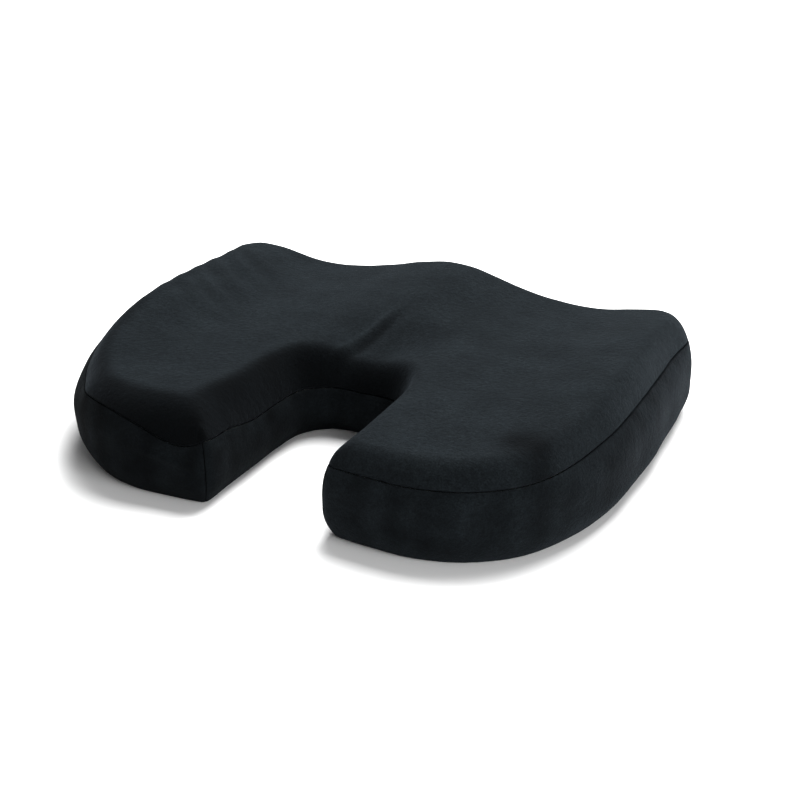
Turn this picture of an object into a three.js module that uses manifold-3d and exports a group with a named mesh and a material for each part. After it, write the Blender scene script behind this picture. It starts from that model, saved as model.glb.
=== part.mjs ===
// U-shaped seat cushion: a moulded foam block in a sewn velour cover with a zip.
// Millimetres. X runs across the seat, +Y towards the sitter's knees, +Z up.
// The relief notch for the tailbone opens at the back, at -Y.
import * as THREE from 'three';
import { mergeVertices } from 'three/addons/utils/BufferGeometryUtils.js';
import Module from 'manifold-3d';

const kernel = await Module();
kernel.setup();
const { Manifold, Mesh } = kernel;

// ---- overall shape -------------------------------------------------------
const PLAN_SHIFT_Y = 14;      // moves the outline so the origin is under its middle
const FRONT_Y = 160;          // straight front edge, before the shift
const SEAM_INSET = 4.5;       // the top seam lies inside the widest outline,
const SIDE_INSET = 4.5;       // and this much further in along the two outer sides
const FOOT = { inset: 9, height: 22 };        // the wall curves in below this height
const FOOT_FRONT = { inset: 6, height: 14 };  // less so along the front, to seat the zip
const LEAN = 25;              // and leans in over this height below the seam
const SHOULDER = 14;          // width of the rounded shoulder inside the seam

// Right half of the plan outline at its widest, from the notch to the front.
const NOTCH_SIDE = [[0, -35], [25, -38], [38, -52], [42, -78], [43, -115], [44, -148]];
const TIP_CENTRE = [58, -172];
const TIP_RADIUS = 14;
const OUTER_SIDE = [
  [82, -188], [116, -188], [153, -177], [187, -151], [210, -109], [222, -62], [225, -10],
  [224, 45], [221, 95], [217, 130], [201, 153], [173, 160],
];
const FRONT_HALF = 140;       // half the length of the straight part of the front

// ---- layers --------------------------------------------------------------
const COVER = 1.6;            // velour with its backing
const SEAM_GAP = 0.3;         // bare line between two sewn panels, each side
const FOAM_DEPTH = 4.8;       // foam wall behind the outside of the cover
const FOAM_DROP = 2.3;        // foam top under the outside of the cover
const FOAM_FOOT = 2.1;        // foam underside above the floor
const BASE_THICK = 1.6;
const BASE_GAP = 0.5;         // between the base panel and the band's hem
const BAND_FOOT = 0.2;        // the band's hem stays just off the floor

// ---- zip, along the straight front face ----------------------------------
const ZIP_Z = 22;
const ZIP_SLOT = 5.5;         // half height of the slot between the two bands
const TAPE = { near: 1.5, upperFar: 11, lowerFar: 9, outer: 1.9, inner: 2.4, half: 137 };
const COIL = { near: 0.2, far: 3.0, outer: -0.5, inner: 1.5, start: -130, end: 126.5 };
const STOP = { near: 0.2, far: 3.4, depths: [-0.8, 1.6], length: 2.6, gap: 0.6 };
const SLIDER_X = 124;         // slider's middle when the zip is closed
const SLIDER = {
  half: 7, wing: 4.8, wingThick: 1, outer: -0.8, inner: 2.7, post: [4.2, 6], flange: 0.6,
};
const BAIL = { half: 5, bar: 1.1, rise: 3.7, width: 1.1 };
const PULL = { length: 24, half: 3.6, thick: 1.2, bar: 1.4, eye: 3, arm: 1.4, hole: 6.1, depth: -3.2 };

// ---- mesh density --------------------------------------------------------
const SIDE_STEPS = 19;
const FRONT_STEPS = 14;
const TIP_STEPS = 3;          // each side of a tip
const RINGS = [1.2, 4, 8, 13, 19];   // distances in from the seam, then shares of the way
const RING_SHARES = [0.5, 1];

// ---- small maths ---------------------------------------------------------
const smooth = (a, b, x) => {
  const t = THREE.MathUtils.clamp((x - a) / (b - a), 0, 1);
  return t * t * (3 - 2 * t);
};
const bell = (x, width) => Math.exp(-((x / width) ** 2));

// Height of the seam between the band and the top panel.
function seamHeight(x, y) {
  const side = smooth(150, 215, Math.abs(x)) * bell(y - 10, 110);
  const notch = bell(x, 80) * smooth(15, -45, y) * smooth(-190, -105, y);
  const corner = smooth(125, 190, Math.abs(x)) * smooth(30, 120, y);
  return 57 + 8 * side + 3 * corner - 20.5 * notch + 3 * bell(x, 70) * smooth(60, 150, y);
}

// Height the top reaches away from its edges: seat, side bolsters, thigh channels, pommel.
function seatHeight(x, y) {
  const side = smooth(120, 212, Math.abs(x)) * bell(y - 15, 105);
  const pommel = bell(x, 56) * smooth(-40, 140, y);
  const channel = bell(Math.abs(x) - 118, 52) * smooth(40, 170, y);
  const notch = bell(x, 37) * smooth(55, -25, y) * smooth(-190, -110, y);
  const corner = smooth(125, 190, Math.abs(x)) * smooth(30, 120, y);
  return 74 + 14 * side + 17 * pommel + 4 * corner - 4 * channel - 15 * notch;
}

// How much further in the seam lies along the outer sides.
function sideInset(x, y) {
  const along = smooth(-150, -70, y) * smooth(155, 115, y);
  return SIDE_INSET * smooth(180, 214, Math.abs(x)) * along;
}

// How far the wall lies inside the widest outline at height z of a column.
function wallInset(column, z) {
  const front = smooth(FRONT_Y - 40, FRONT_Y - 8, column.point.y - PLAN_SHIFT_Y);
  const height = THREE.MathUtils.lerp(FOOT.height, FOOT_FRONT.height, front);
  const inset = THREE.MathUtils.lerp(FOOT.inset, FOOT_FRONT.inset, front);
  const foot = Math.max(0, 1 - z / height);
  const lean = Math.max(0, 1 - (seamAt(column) - z) / LEAN);
  return inset * foot ** 2 + SEAM_INSET * lean ** 2 + sideInsetAt(column) * lean ** 3;
}

// ---- the outline as a closed curve ---------------------------------------
// A point of the rounded corner at the end of the right-hand lobe.
function tipPoint(degrees) {
  const turn = THREE.MathUtils.degToRad(degrees);
  return [
    TIP_CENTRE[0] - TIP_RADIUS * Math.cos(turn),
    TIP_CENTRE[1] - TIP_RADIUS * Math.sin(turn),
  ];
}

function outlineCurve() {
  const right = [
    ...NOTCH_SIDE, ...[0, 22.5, 45, 67.5, 90].map(tipPoint), ...OUTER_SIDE,
    [FRONT_HALF + 8, FRONT_Y], [FRONT_HALF, FRONT_Y], [FRONT_HALF / 2, FRONT_Y],
  ];
  const left = right.slice(1).reverse().map(([x, y]) => [-x, y]);
  const points = [...right, [0, FRONT_Y], ...left];
  const raised = points.map(([x, y]) => new THREE.Vector3(x, y + PLAN_SHIFT_Y, 0));
  return new THREE.CatmullRomCurve3(raised, true, 'centripetal');
}

// A dense copy of the outline, with arc length, outward normal and turning.
function measureOutline(steps = 4000) {
  const curve = outlineCurve();
  const at = Array.from({ length: steps }, (_, i) => curve.getPoint(i / steps));
  const length = [0];
  for (let i = 0; i < steps; i += 1) {
    length.push(length[i] + at[i].distanceTo(at[(i + 1) % steps]));
  }
  const normal = at.map((_, i) => {
    const before = at[(i + steps - 3) % steps];
    const after = at[(i + 3) % steps];
    return new THREE.Vector3(after.y - before.y, before.x - after.x, 0).normalize();
  });
  return { at, length, normal, steps, total: length[steps] };
}

const outline = measureOutline();

// Point and outward normal at arc length s.
function outlineAt(s) {
  const wrapped = ((s % outline.total) + outline.total) % outline.total;
  let low = 0;
  let high = outline.steps;
  while (high - low > 1) {
    const middle = (low + high) >> 1;
    if (outline.length[middle] <= wrapped) low = middle;
    else high = middle;
  }
  const share = (wrapped - outline.length[low]) / (outline.length[low + 1] - outline.length[low]);
  const next = (low + 1) % outline.steps;
  return {
    s,
    point: outline.at[low].clone().lerp(outline.at[next], share),
    normal: outline.normal[low].clone().lerp(outline.normal[next], share).normalize(),
  };
}

// Arc length of the dense point nearest to (x, y).
function lengthNear(x, y) {
  const target = new THREE.Vector3(x, y + PLAN_SHIFT_Y, 0);
  const gaps = outline.at.map((p) => p.distanceTo(target));
  return outline.length[gaps.indexOf(Math.min(...gaps))];
}

// Splits an arc into steps, closer together where the outline turns.
function splitArc(from, to, steps) {
  const fine = 400;
  const weight = [0];
  for (let i = 0; i < fine; i += 1) {
    const a = outlineAt(from + ((to - from) * i) / fine);
    const b = outlineAt(from + ((to - from) * (i + 1)) / fine);
    weight.push(weight[i] + a.point.distanceTo(b.point) + 30 * a.normal.angleTo(b.normal));
  }
  return Array.from({ length: steps + 1 }, (_, k) => {
    const want = (weight[fine] * k) / steps;
    let i = weight.findIndex((w) => w >= want - 1e-9);
    i = Math.max(1, i);
    const share = (want - weight[i - 1]) / (weight[i] - weight[i - 1]);
    return from + ((to - from) * (i - 1 + share)) / fine;
  });
}

// ---- columns round the cushion -------------------------------------------
const TIP_S = lengthNear(...tipPoint(45));
const FRONT_S = lengthNear(FRONT_HALF, FRONT_Y);
const TIP_RUN = 26;
const TOTAL = outline.total;
const notchSteps = 2 * SIDE_STEPS + FRONT_STEPS;

const notchStations = splitArc(-(TIP_S - TIP_RUN), TIP_S - TIP_RUN, notchSteps);
const rightTip = splitArc(TIP_S - TIP_RUN, TIP_S, TIP_STEPS)
  .concat(splitArc(TIP_S, TIP_S + TIP_RUN, TIP_STEPS).slice(1));
const rightSide = splitArc(TIP_S + TIP_RUN, FRONT_S, SIDE_STEPS);
const front = Array.from({ length: FRONT_STEPS + 1 }, (_, k) => (
  FRONT_S + ((TOTAL - 2 * FRONT_S) * k) / FRONT_STEPS
));
const leftSide = rightSide.map((s) => TOTAL - s).reverse();
const leftTip = rightTip.map((s) => TOTAL - s).reverse();

// Every column once, in order, starting at the first station on the notch.
const stations = [
  ...notchStations.slice(0, -1), ...rightTip.slice(0, -1), ...rightSide.slice(0, -1),
  ...front.slice(0, -1), ...leftSide.slice(0, -1), ...leftTip.slice(0, -1),
];
const columns = stations.map(outlineAt);

// The spine: the line half way between the notch and the outside, which both share.
const outerStations = [...rightSide.slice(0, -1), ...front.slice(0, -1), ...leftSide];
const spine = notchStations.map((s, k) => {
  const inner = outlineAt(s).point;
  const outer = outlineAt(outerStations[notchSteps - k]).point;
  return inner.clone().lerp(outer, 0.5);
});

// Index of the spine vertex that each column runs to.
const spineOf = columns.map((_, i) => {
  if (i <= notchSteps) return i;
  const past = i - notchSteps;
  if (past <= 2 * TIP_STEPS) return notchSteps;
  if (past <= 2 * TIP_STEPS + notchSteps) return notchSteps - (past - 2 * TIP_STEPS);
  return 0;
});

// ---- mesh building -------------------------------------------------------
class Solid {
  constructor() {
    this.points = [];
    this.faces = [];
  }

  add(point) {
    this.points.push(point);
    return this.points.length - 1;
  }

  row(points) {
    return points.map((point) => this.add(point));
  }

  // A strip of quads between two rows of equal length, split on the shorter diagonal.
  strip(a, b, closed = false) {
    const count = closed ? a.length : a.length - 1;
    for (let i = 0; i < count; i += 1) {
      const j = (i + 1) % a.length;
      this.quad(a[i], a[j], b[j], b[i]);
    }
  }

  quad(p, q, r, s) {
    const across = this.points[p].distanceTo(this.points[r]);
    const other = this.points[q].distanceTo(this.points[s]);
    const pair = across <= other ? [[p, q, r], [p, r, s]] : [[p, q, s], [q, r, s]];
    pair.filter(([a, b, c]) => a !== b && b !== c && a !== c).forEach((f) => this.faces.push(f));
  }

  mesh(name, material) {
    let geometry = new THREE.BufferGeometry();
    const flat = this.points.flatMap((p) => [p.x, p.y, p.z]);
    geometry.setAttribute('position', new THREE.Float32BufferAttribute(flat, 3));
    geometry.setIndex(this.faces.flat());
    geometry = mergeVertices(geometry, 1e-4);
    if (signedVolume(geometry) < 0) {
      geometry.setIndex(this.faces.flatMap(([a, b, c]) => [a, c, b]));
    }
    geometry.computeVertexNormals();
    const mesh = new THREE.Mesh(geometry, material);
    mesh.name = name;
    return mesh;
  }
}

function signedVolume(geometry) {
  const position = geometry.getAttribute('position');
  const index = geometry.getIndex();
  const corner = (k) => new THREE.Vector3().fromBufferAttribute(position, index.getX(k));
  let sum = 0;
  for (let k = 0; k < index.count; k += 3) {
    sum += corner(k).dot(corner(k + 1).cross(corner(k + 2)));
  }
  return sum / 6;
}

const inwards = (column, depth, z) => (
  column.point.clone().addScaledVector(column.normal, -depth).setZ(z)
);

// Seam height and inset by plan position, with the plan shift taken off again.
const seamAt = (column) => seamHeight(column.point.x, column.point.y - PLAN_SHIFT_Y);
const sideInsetAt = (column) => sideInset(column.point.x, column.point.y - PLAN_SHIFT_Y);
const seamInsetAt = (column) => SEAM_INSET + sideInsetAt(column);

// Distance from a plan point to the seam line.
const seamLine = Array.from({ length: 700 }, (_, i) => {
  const column = outlineAt((TOTAL * i) / 700);
  return inwards(column, seamInsetAt(column), 0);
});
function seamDistance(p) {
  let best = Infinity;
  for (const q of seamLine) best = Math.min(best, (p.x - q.x) ** 2 + (p.y - q.y) ** 2);
  return Math.sqrt(best);
}

// Rise of the shoulder at a share of its width: steep at first, then levelling out.
const shoulderRise = (share) => 1 - (1 - THREE.MathUtils.clamp(share, 0, 1)) ** 2.3;

// Height of one skin of the top over a plan point. A deeper skin starts further in than the
// seam and ends lower than the cover's outside, about the same centre.
function topHeight(p, start, lower) {
  const y = p.y - PLAN_SHIFT_Y;
  const seam = seamHeight(p.x, y);
  const share = (seamDistance(p) - start) / (SHOULDER - start);
  return seam + (seatHeight(p.x, y) - lower - seam) * shoulderRise(share);
}

// Rows of points of one skin from near its edge to the spine, for every column.
function skinRows(start, lower) {
  return [...RINGS, ...RING_SHARES].map((value, k) => columns.map((column, i) => {
    const edge = inwards(column, seamInsetAt(column) + start, 0);
    const end = spine[spineOf[i]].clone().setZ(0);
    const reach = edge.distanceTo(end);
    const last = RINGS[RINGS.length - 1];
    const scale = Math.min(1, (0.4 * reach) / last);
    const from = (last * scale) / reach;
    const share = k < RINGS.length ? (value * scale) / reach : from + (1 - from) * value;
    const place = edge.lerp(end, share);
    return place.setZ(topHeight(place, start, lower));
  }));
}

// Adds the rows of one skin of the top; the last row is shared along the spine.
function addTopRows(solid, edge, start, lower) {
  const rows = [edge];
  const rings = skinRows(start, lower);
  rings.forEach((ring, k) => {
    if (k < rings.length - 1) {
      rows.push(solid.row(ring));
      return;
    }
    const shared = spine.map((_, m) => solid.add(ring[spineOf.indexOf(m)]));
    rows.push(spineOf.map((m) => shared[m]));
  });
  for (let k = 0; k + 1 < rows.length; k += 1) solid.strip(rows[k], rows[k + 1], true);
}

// ---- the foam and the cover ----------------------------------------------
// Heights of the wall's rows as functions of the column: fixed ones round the foot, then
// three shares of the way from there up to the seam.
function wallLevels(bottom) {
  const low = [bottom, 5, 9, 14, 22].filter((z) => z >= bottom);
  const high = [0.35, 0.62, 0.84];
  return [
    ...low.map((z) => () => z),
    ...high.map((share) => (c) => THREE.MathUtils.lerp(22, seamAt(c), share)),
  ];
}

function foamCore(material) {
  const solid = new Solid();
  const wall = wallLevels(FOAM_FOOT).map((level) => solid.row(columns.map((c) => (
    inwards(c, wallInset(c, level(c)) + FOAM_DEPTH, level(c))
  ))));
  wall.push(solid.row(columns.map((c) => (
    inwards(c, seamInsetAt(c) + FOAM_DEPTH, seamAt(c))
  ))));
  for (let k = 0; k + 1 < wall.length; k += 1) solid.strip(wall[k], wall[k + 1], true);
  addTopRows(solid, wall[wall.length - 1], FOAM_DEPTH, FOAM_DROP);
  addFlatCap(solid, wall[0], FOAM_FOOT);
  return solid.mesh('foam_core', material);
}

// Closes a ring with a flat sheet that meets along the spine.
function addFlatCap(solid, edge, z) {
  const shared = spine.map((p) => solid.add(p.clone().setZ(z)));
  solid.strip(spineOf.map((m) => shared[m]), edge, true);
}

// A point just off the seam on one side of it, on the cover's outside or depth inside it.
// Worked in the section across the seam, where x is the distance in and y is the height.
function seamEdge(column, side, depth) {
  const seam = seamAt(column);
  const rise = seatHeight(column.point.x, column.point.y - PLAN_SHIFT_Y) - seam;
  const up = new THREE.Vector2(RINGS[0], rise * shoulderRise(RINGS[0] / SHOULDER)).normalize();
  const lean = (2 * SEAM_INSET + 3 * sideInsetAt(column)) / LEAN;
  const down = new THREE.Vector2(-lean, -1).normalize();
  const inside = new THREE.Vector2(up.y - down.y, down.x - up.x).normalize();
  const along = side === 'top' ? up : down;
  const off = inside.multiplyScalar(depth).addScaledVector(along, SEAM_GAP);
  return inwards(column, seamInsetAt(column) + off.x, seam + off.y);
}

function topPanel(material) {
  const solid = new Solid();
  const outer = solid.row(columns.map((c) => seamEdge(c, 'top', 0)));
  const inner = solid.row(columns.map((c) => seamEdge(c, 'top', COVER)));
  addTopRows(solid, outer, 0, 0);
  const start = solid.faces.length;
  addTopRows(solid, inner, COVER, COVER);
  for (let k = start; k < solid.faces.length; k += 1) solid.faces[k].reverse();
  solid.strip(inner, outer, true);
  return solid.mesh('cover_top_panel', material);
}

// A strip of the side band over some columns, between two heights.
function band(name, material, from, to, list, bottom, top) {
  const ends = [from + SEAM_GAP, ...list.filter((s) => s > from + 1 && s < to - 1), to - SEAM_GAP];
  const across = ends.map(outlineAt);
  const levels = wallLevels(bottom).filter((level) => (
    level(across[0]) >= bottom && level(across[0]) < top
  ));
  const solid = new Solid();
  const skin = (depth) => {
    const rows = levels.map((level) => solid.row(across.map((c) => (
      inwards(c, wallInset(c, level(c)) + depth, level(c))
    ))));
    rows.push(solid.row(across.map((c) => {
      if (top === Infinity) return seamEdge(c, 'band', depth);
      return inwards(c, wallInset(c, top) + depth, top);
    })));
    return rows;
  };
  const outer = skin(0);
  const inner = skin(COVER);
  const last = outer.length - 1;
  for (let k = 0; k < last; k += 1) {
    solid.strip(outer[k], outer[k + 1]);
    solid.strip(inner[k + 1], inner[k]);
    solid.quad(inner[k][0], outer[k][0], outer[k + 1][0], inner[k + 1][0]);
    const end = across.length - 1;
    solid.quad(outer[k][end], inner[k][end], inner[k + 1][end], outer[k + 1][end]);
  }
  solid.strip(inner[0], outer[0]);
  solid.strip(outer[last], inner[last]);
  return solid.mesh(name, material);
}

function basePanel(material) {
  const solid = new Solid();
  const edge = (c, z) => inwards(c, wallInset(c, 0) + COVER + BASE_GAP, z);
  const low = solid.row(columns.map((c) => edge(c, 0)));
  const high = solid.row(columns.map((c) => edge(c, BASE_THICK)));
  solid.strip(low, high, true);
  addFlatCap(solid, low, 0);
  const start = solid.faces.length;
  addFlatCap(solid, high, BASE_THICK);
  for (let k = start; k < solid.faces.length; k += 1) solid.faces[k].reverse();
  return solid.mesh('base_panel', material);
}

// ---- the zip -------------------------------------------------------------
const faceY = (depth) => FRONT_Y + PLAN_SHIFT_Y - depth;

// A block on the front face: x range, z range, and depth behind the cover's surface.
function block([x0, x1], [z0, z1], [outer, inner]) {
  const box = new THREE.BoxGeometry(x1 - x0, inner - outer, z1 - z0);
  return box.translate((x0 + x1) / 2, faceY((outer + inner) / 2), (z0 + z1) / 2);
}

// The z range of something that lies from near to far, above or below the zip's line.
const beside = (side, near, far) => (
  side > 0 ? [ZIP_Z + near, ZIP_Z + far] : [ZIP_Z - far, ZIP_Z - near]
);

// Leaves only shared positions, so that the faces meet at common corners.
function weld(geometry) {
  geometry.deleteAttribute('normal');
  geometry.deleteAttribute('uv');
  return mergeVertices(geometry, 1e-4);
}

function toManifold(geometry) {
  const welded = weld(geometry);
  return new Manifold(new Mesh({
    numProp: 3,
    vertProperties: Float32Array.from(welded.getAttribute('position').array),
    triVerts: Uint32Array.from(welded.getIndex().array),
  }));
}

function fromManifold(solid) {
  const { vertProperties, triVerts } = solid.getMesh();
  const geometry = new THREE.BufferGeometry();
  geometry.setAttribute('position', new THREE.Float32BufferAttribute(vertProperties, 3));
  geometry.setIndex(Array.from(triVerts));
  return geometry;
}

const joined = (blocks) => (
  blocks.map(toManifold).reduce((whole, next) => whole.add(next))
);

function piece(name, geometry, material) {
  const closed = geometry.getAttribute('uv') ? weld(geometry) : geometry;
  closed.computeVertexNormals();
  const mesh = new THREE.Mesh(closed, material);
  mesh.name = name;
  return mesh;
}

function zipTape(side) {
  const far = side > 0 ? TAPE.upperFar : TAPE.lowerFar;
  return block([-TAPE.half, TAPE.half], beside(side, TAPE.near, far), [TAPE.outer, TAPE.inner]);
}

function zipCoil(side) {
  const [z0, z1] = beside(side, COIL.near, COIL.far);
  const rod = new THREE.CylinderGeometry(0.5, 0.5, COIL.end - COIL.start, 10);
  rod.rotateZ(Math.PI / 2).scale(1, COIL.inner - COIL.outer, z1 - z0);
  const middle = (COIL.outer + COIL.inner) / 2;
  return rod.translate((COIL.start + COIL.end) / 2, faceY(middle), (z0 + z1) / 2);
}

function zipTopStop(side) {
  const start = SLIDER_X + SLIDER.half + STOP.gap;
  return block([start, start + STOP.length], beside(side, STOP.near, STOP.far), STOP.depths);
}

function zipBottomStop() {
  const end = COIL.start - STOP.gap;
  return block([end - STOP.length, end], [ZIP_Z - STOP.far, ZIP_Z + STOP.far], STOP.depths);
}

// Two wings joined by the post that parts the coils, with a bail for the pull on the outside.
function zipSlider() {
  const long = [SLIDER_X - SLIDER.half, SLIDER_X + SLIDER.half];
  const high = [ZIP_Z - SLIDER.wing, ZIP_Z + SLIDER.wing];
  const face = SLIDER.outer - SLIDER.wingThick;
  const crown = face - BAIL.rise;
  const thin = [ZIP_Z - BAIL.width / 2, ZIP_Z + BAIL.width / 2];
  const [postIn, postOut] = SLIDER.post;
  const parts = [
    block(long, high, [face, SLIDER.outer]),
    block(long, high, [SLIDER.inner, SLIDER.inner + 0.8]),
    block([SLIDER_X + postIn, SLIDER_X + postOut], [ZIP_Z - 1, ZIP_Z + 1],
      [SLIDER.outer - 0.5, SLIDER.inner + 0.4]),
    block([SLIDER_X - BAIL.half, SLIDER_X + BAIL.half], thin, [crown, crown + BAIL.bar]),
  ];
  for (const side of [-1, 1]) {
    parts.push(block(long, beside(side, SLIDER.wing - SLIDER.flange, SLIDER.wing),
      [SLIDER.outer - 0.5, TAPE.outer - 0.5]));
    const foot = SLIDER_X + side * (BAIL.half - BAIL.bar / 2);
    parts.push(block([foot - BAIL.bar / 2, foot + BAIL.bar / 2], thin, [crown, face + 0.5]));
  }
  return fromManifold(joined(parts));
}

// A flat tab whose eye goes round the bail's leg; it turns about the bar at its end.
function zipPull() {
  const mid = PULL.depth;
  const thick = [mid - PULL.thick / 2, mid + PULL.thick / 2];
  const bar = PULL.bar / 2;
  const eye = PULL.eye / 2;
  const plate = block([SLIDER_X - PULL.hole - 2, SLIDER_X + bar],
    [ZIP_Z - eye - PULL.arm, ZIP_Z + eye + PULL.arm], thick);
  const grip = block([SLIDER_X - PULL.length, SLIDER_X - PULL.hole - 1],
    [ZIP_Z - PULL.half, ZIP_Z + PULL.half], thick);
  const hole = block([SLIDER_X - PULL.hole, SLIDER_X - bar], [ZIP_Z - eye, ZIP_Z + eye],
    [thick[0] - 1, thick[1] + 1]);
  return fromManifold(joined([plate, grip]).subtract(toManifold(hole)));
}

// ---- materials and assembly ----------------------------------------------
const paint = (name, color, roughness, metalness = 0) => (
  new THREE.MeshStandardMaterial({ name, color, roughness, metalness })
);
const velour = paint('velour', 0x2e3236, 0.95);
const grip = paint('grip_fabric', 0x1b1d1f, 0.9);
const foam = paint('foam', 0xe9e2cf, 0.9);
const tape = paint('zip_tape', 0x17191b, 0.85);
const coil = paint('zip_coil', 0x202224, 0.45);
const metal = paint('zip_metal', 0x2a2c2e, 0.35, 0.8);

const cushion = new THREE.Group();
cushion.name = 'seat_cushion';
const endS = TOTAL - FRONT_S;
const zipTop = ZIP_Z + ZIP_SLOT;
const zipBottom = ZIP_Z - ZIP_SLOT;
cushion.add(
  foamCore(foam),
  topPanel(velour),
  band('side_band_right', velour, TIP_S, FRONT_S, [...rightTip, ...rightSide.slice(1)],
    BAND_FOOT, Infinity),
  band('side_band_left', velour, endS, TOTAL - TIP_S, [...leftSide, ...leftTip.slice(1)],
    BAND_FOOT, Infinity),
  band('notch_band', velour, -TIP_S, TIP_S,
    [...leftTip.map((s) => s - TOTAL), ...notchStations.slice(1), ...rightTip.slice(1)],
    BAND_FOOT, Infinity),
  band('front_band_upper', velour, FRONT_S, endS, front, zipTop, Infinity),
  band('front_band_lower', velour, FRONT_S, endS, front, BAND_FOOT, zipBottom),
  basePanel(grip),
  piece('zip_tape_upper', zipTape(1), tape),
  piece('zip_tape_lower', zipTape(-1), tape),
  piece('zip_coil_upper', zipCoil(1), coil),
  piece('zip_coil_lower', zipCoil(-1), coil),
  piece('zip_top_stop_upper', zipTopStop(1), metal),
  piece('zip_top_stop_lower', zipTopStop(-1), metal),
  piece('zip_bottom_stop', zipBottomStop(), metal),
  piece('zip_slider', zipSlider(), metal),
  piece('zip_pull_tab', zipPull(), metal),
);

export default cushion;
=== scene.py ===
"""U-shaped seat cushion: a moulded foam block in a sewn velour cover, zipped along the front.

Lengths are in millimetres until a mesh is made. X runs across the seat, +Y towards the
sitter's knees, +Z up, and the notch for the tailbone opens at -Y.
"""
import math

import bmesh
import bpy
import numpy as np
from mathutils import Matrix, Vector


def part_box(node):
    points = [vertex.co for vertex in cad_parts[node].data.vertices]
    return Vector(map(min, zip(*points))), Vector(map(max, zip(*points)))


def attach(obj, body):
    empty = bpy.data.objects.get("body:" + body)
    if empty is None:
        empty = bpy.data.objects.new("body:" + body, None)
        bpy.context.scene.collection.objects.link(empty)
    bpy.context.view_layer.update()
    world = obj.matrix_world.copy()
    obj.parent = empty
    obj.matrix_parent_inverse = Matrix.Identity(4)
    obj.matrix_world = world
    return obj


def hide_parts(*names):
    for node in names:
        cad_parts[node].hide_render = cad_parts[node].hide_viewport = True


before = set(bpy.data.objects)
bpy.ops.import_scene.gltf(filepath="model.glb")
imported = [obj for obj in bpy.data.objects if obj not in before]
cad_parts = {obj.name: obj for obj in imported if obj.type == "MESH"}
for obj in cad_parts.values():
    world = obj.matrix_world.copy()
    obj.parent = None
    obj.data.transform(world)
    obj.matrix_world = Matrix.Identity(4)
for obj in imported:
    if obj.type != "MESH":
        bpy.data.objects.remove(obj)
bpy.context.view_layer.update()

MM = 0.001

# ---- the cushion's own sizes -------------------------------------------------
SHIFT_Y = 14.0                 # the outline's middle stands over the origin
FRONT_Y = 160.0                # straight front edge, before the shift
FRONT_HALF = 140.0             # half the length of the straight part
SEAM_INSET = 4.5               # top seam inside the widest outline,
SIDE_INSET = 4.5               # and this much further in along the outer sides,
LEFT_INSET = 6.5               # or this much on the left one, where the cover sits askew
LEFT_FOOT = 4.5                # the left wall's foot lies this much further in
SEAM_Z = 57.0                  # height of the seam at the lobes
SEAT_Z = 74.0                  # height of the seat
LEAN = 25.0                    # the wall leans in over this height below the seam
SHOULDER = 18.0                # width of the rounded shoulder inside the seam
COVER = 1.4                    # velour with its backing
BASE_CLOTH = 1.0               # the cloth of the underside
FOAM_DEPTH = 4.8               # foam wall behind the outside of the cover
FOAM_DROP = 2.3                # foam top under the outside of the cover
NOTCH_SIDE = [(0, -35), (25, -38), (38, -52), (42, -78), (43, -115), (44, -148)]
TIP_CENTRE = (58, -172)
TIP_RADIUS = 14.0
OUTER_SIDE = [
    (82, -188), (116, -188), (153, -177), (187, -151), (210, -109), (222, -62), (225, -10),
    (224, 45), (221, 95), (217, 130), (201, 153), (173, 160),
]

# ---- mesh density ------------------------------------------------------------
SIDE_STEPS = 120
FRONT_STEPS = 80
TIP_STEPS = 16                 # each side of a lobe's tip
TIP_RUN = 26.0


# ---- small maths -------------------------------------------------------------
def smooth(a, b, x):
    """Rises from 0 at a to 1 at b along a cubic that starts and ends level."""
    t = np.clip((x - a) / (b - a), 0.0, 1.0)
    return t * t * (3.0 - 2.0 * t)


def bell(x, width):
    """A bell curve: 1 at x = 0, falling to 1/e at one width away."""
    return np.exp(-((x / width) ** 2))


def ripple(points, cell, seed):
    """Smooth noise from -1 to 1: the sum of eight plane waves in seeded directions."""
    rng = np.random.default_rng(seed)
    wave = rng.normal(size=(8, points.shape[-1]))
    wave /= np.linalg.norm(wave, axis=1, keepdims=True)
    wave *= rng.uniform(0.7, 1.5, (8, 1)) * 2.0 * math.pi / cell
    phase = rng.uniform(0.0, 2.0 * math.pi, 8)
    return np.sin(points @ wave.T + phase).sum(axis=-1) / 4.0


# ---- the plan outline --------------------------------------------------------
def closed_curve(knots, per_span=90):
    """Closed curve through the knots: each span is a cubic whose end slopes weigh the
    neighbouring chords by the square root of their length."""
    p1 = np.asarray(knots, float)
    p0, p2, p3 = np.roll(p1, 1, 0), np.roll(p1, -1, 0), np.roll(p1, -2, 0)
    d0, d1, d2 = (np.linalg.norm(b - a, axis=1, keepdims=True) ** 0.5
                  for a, b in ((p0, p1), (p1, p2), (p2, p3)))
    m1 = ((p1 - p0) / d0 - (p2 - p0) / (d0 + d1) + (p2 - p1) / d1) * d1
    m2 = ((p2 - p1) / d1 - (p3 - p1) / (d1 + d2) + (p3 - p2) / d2) * d1
    t = (np.arange(per_span) / per_span)[None, :, None]
    a, b = -3 * p1 + 3 * p2 - 2 * m1 - m2, 2 * p1 - 2 * p2 + m1 + m2
    points = p1[:, None] + m1[:, None] * t + a[:, None] * t ** 2 + b[:, None] * t ** 3
    return points.reshape(-1, 2)


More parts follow.
